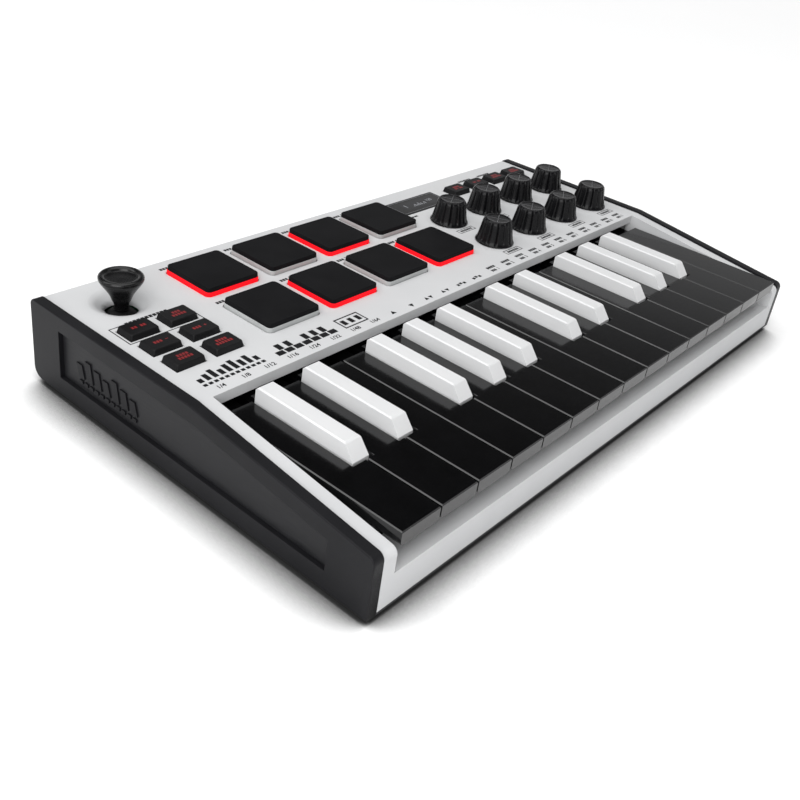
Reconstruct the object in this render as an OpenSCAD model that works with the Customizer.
// Compact 25-key controller keyboard with pads, knobs, buttons and a thumb joystick.
// Millimetres, +Z up. The origin is on the table under the middle of the case;
// +X is the player's right and +Y points away from the player.

/* [Case] */
// Overall width over both end cheeks
case_w = 318; // [300:1:340]
// Overall depth
case_d = 181; // [170:1:195]
// Height of the control panel above the table
panel_z = 36.3; // [34:0.1:40]
// Height of the underside above the table
underside_z = 2.5; // [1.5:0.1:4]
// Wall thickness of the white top cover
wall = 2.2; // [1.8:0.1:3]
// Depth of the control panel's front edge behind the middle of the case
panel_front_y = -4.2; // [-8:0.1:0]
// Height of the white side rails at the front
rail_front_z = 26.1; // [24:0.1:30]
// Top of the front lip, under the key fronts
lip_z = 16.2; // [14:0.1:18]

/* [End cheeks] */
// Thickness of each cheek
cheek_t = 4.5; // [3:0.1:6]
// Height of the cheek above the panel
cheek_rise = 1; // [0:0.1:2]
// Depth of the long recess in each cheek
recess_depth = 2; // [1:0.1:3]

/* [Keys] */
// Pitch of the natural keys
natural_pitch = 19.6; // [18:0.05:22]
// Gap between neighbouring naturals
key_gap = 0.7; // [0.5:0.05:1.2]
// Top of the natural keys
natural_top_z = 31; // [29:0.1:33]
// Height of a natural key's front face
natural_front_h = 5.7; // [5:0.1:8]
// Top of the sharp keys
sharp_top_z = 36.7; // [34:0.1:39]
// Width of a sharp key at its foot
sharp_w = 8; // [7:0.1:9]
// Height of the axis that all keys turn about
pivot_z = 24; // [22:0.1:25]
// Distance of that axis behind the middle of the case
pivot_y = 8; // [6:0.1:10]

/* [Pads] */
// Side of a pad
pad_w = 28; // [24:0.1:32]
// Height of a pad above the panel
pad_rise = 3.7; // [2:0.1:5]
// Sideways pitch of the pads
pad_pitch_x = 34.9; // [32:0.1:38]
// Pitch of the two pad rows
pad_pitch_y = 36.3; // [32:0.1:38]

/* [Knobs] */
// Radius of the flared foot of a knob
knob_foot_r = 9.8; // [8:0.1:11]
// Radius of a knob's body at the bottom
knob_low_r = 8.7; // [7:0.1:10]
// Radius of a knob's body at the top
knob_top_r = 7.15; // [6:0.05:9]
// Height of a knob
knob_h = 12; // [9:0.1:16]
// Number of finger flutes
flute_count = 14; // [8:1:24]
// Sideways pitch of the knobs
knob_pitch_x = 29.9; // [26:0.1:32]
// Pitch of the two knob rows
knob_pitch_y = 29; // [26:0.1:32]

/* [Buttons] */
// Width of a button at its foot
button_w = 13.2; // [10:0.1:15]
// Depth of a button at its foot
button_d = 9.5; // [7:0.1:11]
// Height of a button above the panel
button_rise = 2.4; // [1:0.1:4]
// Sideways pitch of the buttons
button_pitch_x = 17.9; // [16:0.1:20]
// Pitch of the three rows at the left
button_pitch_y = 13.25; // [12:0.05:15]

/* [Joystick] */
// Radius of the thumb cap
stick_cap_r = 8.8; // [7:0.1:10]
// Height of the thumb cap's edge above the table
stick_cap_z = 47; // [44:0.1:52]
// Height of the centre that the stick tilts about
stick_pivot_z = 25; // [23:0.1:27]
// Radius of the hole in the panel's dish
stick_hole_r = 6.75; // [5:0.05:9]

/* [Hidden] */
$fn = 40;
tiny = 0.01;
octave_sharps = [0, 1, 3, 4, 5];
sharp_shifts = [-1.7, 1.7, -2.45, 0, 2.45];
natural_count = 15;
sharp_count = 10;
pad_count = 8;
knob_count = 8;
left_button_count = 6;
right_button_count = 4;

front_y = -case_d / 2;
rear_y = case_d / 2;
cover_x = case_w / 2 - cheek_t - 0.1;
well_x = natural_pitch * natural_count / 2 + 1.3;
panel_under_z = panel_z - 2.3;
cheek_top_z = panel_z + cheek_rise;
cheek_front_z = rail_front_z + cheek_rise + 0.2;
cover_low_z = underside_z + 1.2;
inside_x = cover_x - wall;
inside_rear_y = rear_y - wall;
ledge_y = front_y + 14.5;
rail_inner_x = well_x + 1.6;

keys_x = -natural_pitch * natural_count / 2;
key_front_y = front_y + 0.6;
key_rear_y = panel_front_y - 4.5;
key_low_z = natural_top_z - natural_front_h;
tail_z = 28.4;
notch_y = -57.8;
notch_gap = 0.85;
rod_r = 1.5;
rod_bore_r = 1.55;
tail_inset = 2;
plunger_y = -30;
plunger_z = 22.1;

frame_z = 13.5;
frame_top_z = 15.5;
frame_front_y = -74;
frame_rear_y = 14;

board_low_z = 26;
board_z = 27.6;
board_front_y = 15.2;
board_rear_y = 82;
board_x = 150;
seat_gap = 0.02;

pad_x = -89.2;
pad_y = 30.5;
pad_skirt_rise = 1.8;
pad_corner_r = 2;
knob_x = 49.3;
knob_y = 48.4;
knob_gap = 0.3;
shaft_r = 3;
shaft_bore_r = 3.04;
left_buttons_from = [-141.4, 46.6];
right_buttons_from = [86.9, 72.7];
stick_at = [-132.5, 69.5];
dish_r = 11.3;
dish_depth = 3.1;
pin_r = 1.2;
pin_bore_r = 1.25;
display_at = [53.6, 72.65];
display_size = [38.4, 15.6];
jack_at = [-104, 19.4];
jack_r = 3.2;
socket_at = [-80, 19.4];
foot_at = [138, 76];
foot_r = 6;
cover_screws = [[-100, -83], [0, -83], [100, -83], [-60, 85.4], [20, 85.4], [110, 85.4]];

function two_digits(i) = str(i < 9 ? "0" : "", i + 1);
function names(stem, count) = [for (i = [0 : count - 1]) str(stem, two_digits(i))];
natural_names = names("natural_key_", natural_count);
sharp_names = names("sharp_key_", sharp_count);
pad_names = names("drum_pad_", pad_count);
knob_names = names("control_knob_", knob_count);
left_button_names = names("left_button_", left_button_count);
right_button_names = names("right_button_", right_button_count);
static_names = ["top_cover", "bottom_cover", "left_cheek", "right_cheek", "keybed_frame",
                "main_circuit_board", "rubber_feet", "joystick_gimbal", "joystick_stick"];

// Where things sit. The boundary to the right of a natural carries each sharp.
function natural_left(i) = keys_x + natural_pitch * i;
function sharp_boundary(j) = 7 * floor(j / 5) + octave_sharps[j % 5] + 1;
function sharp_x(j) = natural_left(sharp_boundary(j)) + sharp_shifts[j % 5];
function sharps_at(boundary) = [for (j = [0 : sharp_count - 1]) if (sharp_boundary(j) == boundary) j];
function natural_rear_left(i) =
    len(sharps_at(i)) > 0
        ? sharp_x(sharps_at(i)[0]) + sharp_w / 2 + notch_gap
        : natural_left(i) + key_gap / 2;
function natural_rear_right(i) =
    len(sharps_at(i + 1)) > 0
        ? sharp_x(sharps_at(i + 1)[0]) - sharp_w / 2 - notch_gap
        : natural_left(i + 1) - key_gap / 2;
function natural_middle(i) = (natural_rear_left(i) + natural_rear_right(i)) / 2;
function pad_at(i) = [pad_x + pad_pitch_x * (i % 4), pad_y + pad_pitch_y * floor(i / 4)];
function knob_at(i) = [knob_x + knob_pitch_x * (i % 4), knob_y - knob_pitch_y * floor(i / 4)];
function left_button_at(i) =
    left_buttons_from + [button_pitch_x * (i % 2), -button_pitch_y * floor(i / 2)];
function right_button_at(i) = right_buttons_from + [button_pitch_x * i, 0];
// Height of a line that is level behind the panel's front edge and falls towards the front.
function slope_z(y, level_z, front_z) =
    level_z + (front_z - level_z) * max(0, panel_front_y - y) / (panel_front_y - front_y);

module block(x0, x1, y0, y1, z0, z1) {
    translate([x0, y0, z0]) cube([x1 - x0, y1 - y0, z1 - z0]);
}

module rounded_outline(w, d, r) {
    square([w - 2 * r, d], center = true);
    square([w, d - 2 * r], center = true);
    for (sx = [-1, 1], sy = [-1, 1])
        translate([sx * (w / 2 - r), sy * (d / 2 - r)]) circle(r);
}

module rounded_block(w, d, r, z0, z1) {
    translate([0, 0, z0]) linear_extrude(z1 - z0) rounded_outline(w, d, r);
}

module centred_block(w, d, z0, z1) {
    translate([-w / 2, -d / 2, z0]) cube([w, d, z1 - z0]);
}

// Extrudes an outline drawn in (Y, Z) from x0 to x1.
module along_x(x0, x1) {
    translate([x0, 0, 0]) rotate([90, 0, 90]) linear_extrude(x1 - x0) children();
}

// Extrudes an outline drawn in (X, Z) from y0 to y1.
module along_y(y0, y1) {
    translate([0, y1, 0]) rotate([90, 0, 0]) linear_extrude(y1 - y0) children();
}

// Side view of the case: level at the rear, falling towards a rounded front corner.
module wedge_outline(low_z, level_z, front_z, front_r, rear_r, heel_r) {
    fall = atan((level_z - front_z) / (panel_front_y - front_y));
    corner_y = front_y + front_r;
    corner_z = slope_z(corner_y, level_z, front_z) - front_r / cos(fall);
    polygon([
        [front_y, low_z],
        [rear_y - heel_r, low_z],
        [rear_y, low_z + heel_r],
        [rear_y, level_z - rear_r],
        [rear_y - rear_r, level_z],
        [panel_front_y, level_z],
        [corner_y - front_r * sin(fall), corner_z + front_r * cos(fall)],
        [front_y, corner_z]
    ]);
    translate([corner_y, corner_z]) circle(front_r);
    translate([rear_y - rear_r, level_z - rear_r]) circle(rear_r);
    translate([rear_y - heel_r, low_z + heel_r]) circle(heel_r);
}

module at_each(places) {
    for (p = places) translate([p[0], p[1], 0]) children();
}

module top_cover_shell() {
    difference() {
        along_x(-cover_x, cover_x)
            wedge_outline(cover_low_z, panel_z, rail_front_z, 3, 1, 0.5);
        // Space under the control panel
        block(-inside_x, inside_x, panel_front_y + wall, inside_rear_y, 0, panel_under_z);
        // Key opening, open at the front above the lip and straight down behind it
        block(-well_x, well_x, front_y - 1, panel_front_y, lip_z, panel_z + 5);
        block(-well_x, well_x, ledge_y, panel_front_y + wall + tiny, 0, 32);
        // Hollow of the lip and of both rails
        block(-inside_x, inside_x, front_y + wall, ledge_y + tiny, 0, lip_z - wall);
        for (side = [0, 1])
            mirror([side, 0, 0])
                along_x(rail_inner_x, inside_x)
                    polygon([
                        [front_y + wall, 0],
                        [panel_front_y + wall + 1, 0],
                        [panel_front_y + wall + 1, panel_under_z],
                        [panel_front_y, panel_under_z],
                        [front_y + wall + 2, rail_front_z - 3.2],
                        [front_y + wall, rail_front_z - 5]
                    ]);
    }
}

module top_cover() {
    color("whitesmoke") difference() {
        union() {
            top_cover_shell();
            // Boss under the joystick's dish
            translate([stick_at[0], stick_at[1], panel_z - dish_depth - 1.6])
                cylinder(h = dish_depth + 1, r1 = 8.6, r2 = 13);
            // Screw bosses
            for (p = cover_screws)
                translate([p[0], p[1], underside_z + 2.6])
                    cylinder(h = (p[1] < 0 ? lip_z : panel_z) - wall - underside_z - 2.5, r = 2.6);
        }
        // Joystick dish and hole
        translate([stick_at[0], stick_at[1], panel_z - dish_depth])
            cylinder(h = dish_depth + tiny, r1 = stick_hole_r, r2 = dish_r);
        translate([stick_at[0], stick_at[1], panel_z - 10]) cylinder(h = 10, r = stick_hole_r);
        at_each([for (i = [0 : pad_count - 1]) pad_at(i)])
            rounded_block(pad_w + 0.8, pad_w + 0.8, pad_corner_r + 0.4, panel_z - 5, panel_z + 1);
        at_each([for (i = [0 : knob_count - 1]) knob_at(i)])
            translate([0, 0, panel_z - 5]) cylinder(h = 6, r = shaft_r + 0.6);
        at_each(concat([for (i = [0 : left_button_count - 1]) left_button_at(i)],
                       [for (i = [0 : right_button_count - 1]) right_button_at(i)]))
            centred_block(button_w + 0.5, button_d + 0.5, panel_z - 5, panel_z + 1);
        at_each([display_at]) {
            centred_block(display_size[0], display_size[1], panel_z - 1, panel_z + 1);
            centred_block(display_size[0] - 4, display_size[1] - 4, panel_z - 5, panel_z + 1);
        }
        // Rear wall: sustain jack and computer socket
        translate([jack_at[0], rear_y + 1, jack_at[1]]) rotate([90, 0, 0]) cylinder(h = 5, r = 4.7);
        translate([socket_at[0], 0, socket_at[1]])
            block(-6.3, 6.3, inside_rear_y - 1, rear_y + 1, -5.8, 5.8);
        // Pilot holes for the case screws
        for (p = cover_screws)
            translate([p[0], p[1], underside_z]) cylinder(h = 10, r = 1.1);
    }
}

module bottom_cover() {
    floor_z = underside_z + 2.5;
    color("#181819") difference() {
        union() {
            block(-cover_x, cover_x, front_y + 0.1, rear_y - 0.2, underside_z, cover_low_z - 0.1);
            block(-well_x + 0.4, well_x - 0.4, front_y + wall + 0.4, inside_rear_y - 0.4,
                  underside_z, floor_z);
            // Ribs that carry the key frame and the circuit board
            for (y = [-60, -5]) block(-140, 140, y - 1, y + 1, floor_z - tiny, frame_z - 0.1);
            block(-140, 140, 24, 26, floor_z - tiny, board_low_z - 0.1);
            block(-50, 140, 60, 62, floor_z - tiny, board_low_z - 0.1);
        }
        for (p = cover_screws) translate([p[0], p[1], 0]) {
            cylinder(h = 10, r = 1.6);
            cylinder(h = underside_z + 1.2, r = 3);
        }
        for (sx = [-1, 1], sy = [-1, 1])
            translate([sx * foot_at[0], sy * foot_at[1], 0])
                cylinder(h = underside_z + 0.7, r = foot_r + 0.3);
    }
}

// The left cheek; the right one is its mirror image.
module cheek() {
    low_z = underside_z;
    recess_top = cheek_top_z - 6.7;
    recess_front_z = slope_z(-71.3, cheek_top_z, cheek_front_z) - 6.7;
    recess_low = low_z + 7.8;
    outer_x = -case_w / 2;
    color("#1d1d1f") difference() {
        along_x(outer_x, outer_x + cheek_t)
            wedge_outline(low_z, cheek_top_z, cheek_front_z, 3, 2.5, 5);
        along_x(outer_x - 1, outer_x + recess_depth)
            polygon([
                [72, recess_low],
                [72, recess_top],
                [panel_front_y - 4, recess_top],
                [-71.3, recess_front_z],
                [-71.3, recess_low]
            ]);
    }
}

module left_cheek() {
    cheek();
}

module right_cheek() {
    mirror([1, 0, 0]) cheek();
}

// Cross-section of a natural: bevelled top edges, square lower corners.
module natural_outline(x0, x1, bevel, low_z) {
    polygon([
        [x0, low_z],
        [x1, low_z],
        [x1, natural_top_z - bevel],
        [x1 - bevel, natural_top_z],
        [x0 + bevel, natural_top_z],
        [x0, natural_top_z - bevel]
    ]);
}

// The same with rounded lower corners, for the wide front end.
module natural_front_outline(x0, x1, bevel, low_r) {
    natural_outline(x0, x1, bevel, key_low_z + low_r);
    translate([x0 + low_r, key_low_z]) square([x1 - x0 - 2 * low_r, low_r + 1]);
    for (x = [x0 + low_r, x1 - low_r]) translate([x, key_low_z + low_r]) circle(low_r);
}

// Narrow rear end of a key, with the bore that turns on the rod.
module key_tail(x0, x1, start_y) {
    boss_r = 3.3;
    difference() {
        along_x(x0, x1) {
            polygon([
                [start_y, tail_z - 3.5],
                [pivot_y - boss_r, pivot_z - 1],
                [pivot_y, pivot_z + boss_r],
                [pivot_y - 4, tail_z],
                [start_y, tail_z]
            ]);
            translate([pivot_y, pivot_z]) circle(boss_r);
        }
        translate([x0 - 1, pivot_y, pivot_z]) rotate([0, 90, 0])
            cylinder(h = x1 - x0 + 2, r = rod_bore_r);
    }
}

module natural_key(i) {
    bevel = 0.4;
    skin = 1.5;
    x0 = natural_left(i) + key_gap / 2;
    x1 = natural_left(i + 1) - key_gap / 2;
    r0 = natural_rear_left(i);
    r1 = natural_rear_right(i);
    middle = natural_middle(i);
    color("#0c0c0e") {
        difference() {
            union() {
                along_y(key_front_y, notch_y) natural_front_outline(x0, x1, bevel, 1.6);
                along_y(notch_y - tiny, key_rear_y) natural_outline(r0, r1, bevel, key_low_z);
            }
            // Bevel along the front edge
            translate([x0 - 1, key_front_y, natural_top_z - bevel]) rotate([45, 0, 0])
                cube([x1 - x0 + 2, 2, 2]);
            // Hollow underside
            block(x0 + skin, x1 - skin, key_front_y + skin, notch_y - skin, 0, natural_top_z - 2);
            block(r0 + skin, r1 - skin, notch_y - skin - tiny, key_rear_y - skin, 0,
                  natural_top_z - 2);
        }
        translate([middle, plunger_y, 0]) centred_block(3, 3, plunger_z, natural_top_z - 1);
        key_tail(r0 + tail_inset, r1 - tail_inset, key_rear_y - 2);
    }
}

module sharp_key(j) {
    front_top_y = -52.5;
    front_foot_y = -56.5;
    foot_z = natural_top_z - 3.5;
    lip = 0.5;
    half_top = 3.72;
    half_foot = sharp_w / 2;
    x = sharp_x(j);
    color("whitesmoke") {
        difference() {
            intersection() {
                along_x(x - half_foot, x + half_foot)
                    polygon([
                        [front_foot_y, foot_z],
                        [key_rear_y, foot_z],
                        [key_rear_y, sharp_top_z - 1.2],
                        [key_rear_y - 1.2, sharp_top_z],
                        [front_top_y + 2 * lip, sharp_top_z],
                        [front_top_y + 0.2, sharp_top_z - lip],
                        [front_foot_y, natural_top_z - 0.2]
                    ]);
                translate([x, 0, 0]) along_y(front_foot_y - 1, key_rear_y + 1)
                    polygon([
                        [-half_foot, foot_z],
                        [half_foot, foot_z],
                        [half_foot, natural_top_z - 1],
                        [half_top, sharp_top_z - lip],
                        [half_top - lip, sharp_top_z],
                        [lip - half_top, sharp_top_z],
                        [-half_top, sharp_top_z - lip],
                        [-half_foot, natural_top_z - 1]
                    ]);
            }
            block(x - half_foot + 1.4, x + half_foot - 1.4, front_top_y, key_rear_y - 2, 0,
                  sharp_top_z - 3);
        }
        // Low step that runs under the panel's front edge
        block(x - half_foot + 0.4, x + half_foot - 0.4, key_rear_y - tiny, key_rear_y + 2.6,
              foot_z, natural_top_z + 0.4);
        translate([x, plunger_y, 0]) centred_block(3, 3, plunger_z, sharp_top_z - 1);
        key_tail(x - half_foot + 0.5, x + half_foot - 0.5, key_rear_y - 2.5);
    }
}

// Cap of black rubber over a light guide, moulded in one.
module drum_pad(i) {
    skirt_z = panel_z + pad_skirt_rise;
    top_z = panel_z + pad_rise;
    color("#202022") translate([pad_at(i)[0], pad_at(i)[1], 0]) {
        rounded_block(pad_w, pad_w, pad_corner_r, panel_under_z - 0.3, skirt_z);
        rounded_block(pad_w - 0.4, pad_w - 0.4, pad_corner_r, skirt_z - tiny, top_z - 0.3);
        rounded_block(pad_w - 0.9, pad_w - 0.9, pad_corner_r, top_z - 0.3 - tiny, top_z);
        centred_block(pad_w + 2.4, pad_w + 2.4, panel_under_z - 2.2, panel_under_z - 0.2);
        centred_block(pad_w - 2, pad_w - 2, board_z + 1.3, panel_under_z - 2.1);
    }
}

module control_knob(i) {
    low_z = panel_z + knob_gap;
    top_z = low_z + knob_h;
    shoulder_z = top_z - 1.1;
    body_z = low_z + 0.8;
    taper = atan((knob_low_r - knob_top_r) / (shoulder_z - body_z));
    color("#151517") translate([knob_at(i)[0], knob_at(i)[1], 0]) difference() {
        union() {
            translate([0, 0, low_z])
                cylinder(h = body_z - low_z + tiny, r1 = knob_foot_r, r2 = knob_low_r + 0.3);
            translate([0, 0, body_z])
                cylinder(h = shoulder_z - body_z, r1 = knob_low_r, r2 = knob_top_r);
            translate([0, 0, shoulder_z])
                cylinder(h = top_z - shoulder_z, r1 = knob_top_r, r2 = knob_top_r - 0.9);
        }
        translate([0, 0, low_z - 1]) cylinder(h = 8.6, r = shaft_bore_r);
        for (k = [0 : flute_count - 1])
            rotate([0, 0, 360 * (k + 0.5) / flute_count])
                translate([knob_low_r + 0.2, 0, body_z + 0.4])
                    rotate([0, -taper, 0]) cylinder(h = knob_h, r = 0.9, $fn = 4);
    }
}

module push_button(at) {
    rim_z = panel_z + 0.7;
    top_z = panel_z + button_rise;
    color("#1a1a1c") translate([at[0], at[1], 0]) {
        centred_block(button_w, button_d, panel_under_z - 0.4, rim_z);
        centred_block(button_w - 0.9, button_d - 0.9, rim_z - tiny, top_z - 0.4);
        centred_block(button_w - 1.6, button_d - 1.6, top_z - 0.4 - tiny, top_z);
        centred_block(button_w + 1.6, button_d + 1.7, panel_under_z - 1.8, panel_under_z - 0.3);
        centred_block(4, 4, board_z + 1.9, panel_under_z - 1.7);
    }
}

module joystick_gimbal() {
    ring_w = 13;
    ring_h = 4;
    opening = 9.8;
    color("#6d6f73") translate([stick_at[0], stick_at[1], stick_pivot_z]) {
        difference() {
            translate([0, 0, -ring_h / 2]) centred_block(ring_w, ring_w, 0, ring_h);
            translate([0, 0, -ring_h]) centred_block(opening, opening, 0, 2 * ring_h);
            rotate([90, 0, 0]) cylinder(h = 2 * ring_w, r = pin_bore_r, center = true);
        }
        for (side = [0, 180]) rotate([0, 0, side]) translate([ring_w / 2 - 0.6, 0, 0])
            rotate([0, 90, 0]) cylinder(h = 3.4, r = pin_r);
    }
}

module joystick_stick() {
    cap = stick_cap_z - stick_pivot_z;
    color("#131315") translate([stick_at[0], stick_at[1], stick_pivot_z]) {
        rotate_extrude() polygon([
            [0, 0],
            [3, 0],
            [3, cap - 10.4],
            [3.3, cap - 9.4],
            [4.1, cap - 7.6],
            [5.7, cap - 5.4],
            [7.5, cap - 3.2],
            [8.5, cap - 1.2],
            [stick_cap_r, cap],
            [stick_cap_r - 0.5, cap + 0.9],
            [stick_cap_r - 1.4, cap + 1.1],
            [6.1, cap + 0.5],
            [3.5, cap - 0.1],
            [0, cap - 0.3]
        ]);
        sphere(4.2);
        rotate([90, 0, 0]) cylinder(h = 12.4, r = pin_r, center = true);
        translate([0, 0, -4.9]) cylinder(h = 3, r = 2);
    }
}

// Black frame with the rod that every key turns on, and the strip of rubber contacts.
module keybed_frame() {
    rod_x = well_x - 0.4;
    brackets = [-rod_x + 1.3, natural_left(3), natural_left(7), natural_left(10),
                natural_left(14), rod_x - 1.3];
    contact_places = concat([for (i = [0 : natural_count - 1]) natural_middle(i)],
                            [for (j = [0 : sharp_count - 1]) sharp_x(j)]);
    color("#2a2b2e") difference() {
        union() {
            block(-rod_x, rod_x, frame_front_y, frame_rear_y - 1, frame_z, frame_top_z);
            block(-rod_x + 1, rod_x - 1, -73, -67, frame_top_z - tiny, 19.5);
            for (x = brackets)
                block(x - 1.2, x + 1.2, pivot_y - 4, pivot_y + 4, frame_z, pivot_z + 3.3);
        }
        translate([-rod_x - 1, pivot_y, pivot_z]) rotate([0, 90, 0])
            cylinder(h = 2 * rod_x + 2, r = rod_bore_r);
    }
    color("silver") translate([-rod_x, pivot_y, pivot_z]) rotate([0, 90, 0])
        cylinder(h = 2 * rod_x, r = rod_r);
    color("#8c8d90") {
        block(-146, 146, plunger_y - 6, plunger_y + 6, frame_top_z + 0.1, 17.1);
        for (x = contact_places)
            translate([x, plunger_y, 17.1 - tiny]) cylinder(h = 2, r1 = 2.8, r2 = 1.9, $fn = 8);
    }
}

module encoder(at) {
    translate([at[0], at[1], 0]) {
        centred_block(11.6, 11.6, board_z + seat_gap, board_z + 5.4);
        translate([0, 0, board_z + 5]) cylinder(h = 11.2, r = shaft_r);
    }
}

module sustain_jack() {
    mouth_y = rear_y - 0.1;
    deep_y = mouth_y - 15;
    translate([jack_at[0], 0, jack_at[1]]) difference() {
        union() {
            block(-6.4, 6.4, deep_y - 2, inside_rear_y - 0.6, -6.6,
                  board_low_z - seat_gap - jack_at[1]);
            translate([0, inside_rear_y - 1, 0]) rotate([-90, 0, 0])
                cylinder(h = mouth_y - inside_rear_y + 1, r = 4.4);
        }
        translate([0, deep_y, 0]) rotate([-90, 0, 0]) cylinder(h = 20, r = jack_r);
    }
}

module computer_socket() {
    mouth_y = rear_y - 0.1;
    translate([socket_at[0], 0, socket_at[1]]) difference() {
        union() {
            block(-6, 6, mouth_y - 16, mouth_y, -5.4, 5.4);
            block(-6, 6, mouth_y - 16, inside_rear_y - 0.6, 0, board_low_z - seat_gap - socket_at[1]);
        }
        block(-4.3, 4.3, mouth_y - 12, mouth_y + 1, -3.9, 3.9);
    }
}

module joystick_housing() {
    side = 22;
    translate([stick_at[0], stick_at[1], 0]) {
        difference() {
            centred_block(side, side, 16.5, board_low_z - seat_gap);
            centred_block(side - 2, side - 2, 18.5, board_low_z + 5);
        }
        for (turn = [0, 180]) rotate([0, 0, turn]) difference() {
            block(7.2, 9.7, -4, 4, 18, stick_pivot_z + 2.6);
            translate([0, 0, stick_pivot_z]) rotate([0, 90, 0]) cylinder(h = 20, r = pin_bore_r);
        }
    }
}

module main_circuit_board() {
    color("#2c6e3f") difference() {
        block(-board_x, board_x, board_front_y, board_rear_y, board_low_z, board_z);
        translate([stick_at[0], stick_at[1], 0]) centred_block(19.8, 19.8, 0, 40);
    }
    color("#b9bbbd") {
        for (i = [0 : knob_count - 1]) encoder(knob_at(i));
        sustain_jack();
        computer_socket();
        joystick_housing();
    }
    color("#2f2f31") {
        // Pressure sheet under the pads and a switch under each button
        block(pad_at(0)[0] - 14, pad_at(3)[0] + 14, 17, 81, board_z - tiny, board_z + 0.4);
        at_each(concat([for (i = [0 : left_button_count - 1]) left_button_at(i)],
                       [for (i = [0 : right_button_count - 1]) right_button_at(i)]))
            centred_block(6, 6, board_z - tiny, board_z + 0.8);
        translate([display_at[0], display_at[1], 0]) {
            centred_block(display_size[0] - 6, display_size[1] - 3, board_z - tiny,
                          panel_under_z - 0.1);
            centred_block(display_size[0] - 0.3, display_size[1] - 0.3, panel_z - 0.9,
                          panel_z + 0.2);
        }
    }
}

module rubber_feet() {
    color("#111112") for (sx = [-1, 1], sy = [-1, 1])
        translate([sx * foot_at[0], sy * foot_at[1], 0])
            cylinder(h = underside_z + 0.6, r = foot_r);
}

top_cover();
bottom_cover();
left_cheek();
right_cheek();
keybed_frame();
main_circuit_board();
rubber_feet();
joystick_gimbal();
joystick_stick();
for (i = [0 : natural_count - 1])
    natural_key(i);
for (j = [0 : sharp_count - 1])
    sharp_key(j);
for (i = [0 : pad_count - 1])
    drum_pad(i);
for (i = [0 : knob_count - 1])
    control_knob(i);
for (i = [0 : left_button_count - 1])
    push_button(left_button_at(i));
for (i = [0 : right_button_count - 1])
    push_button(right_button_at(i));
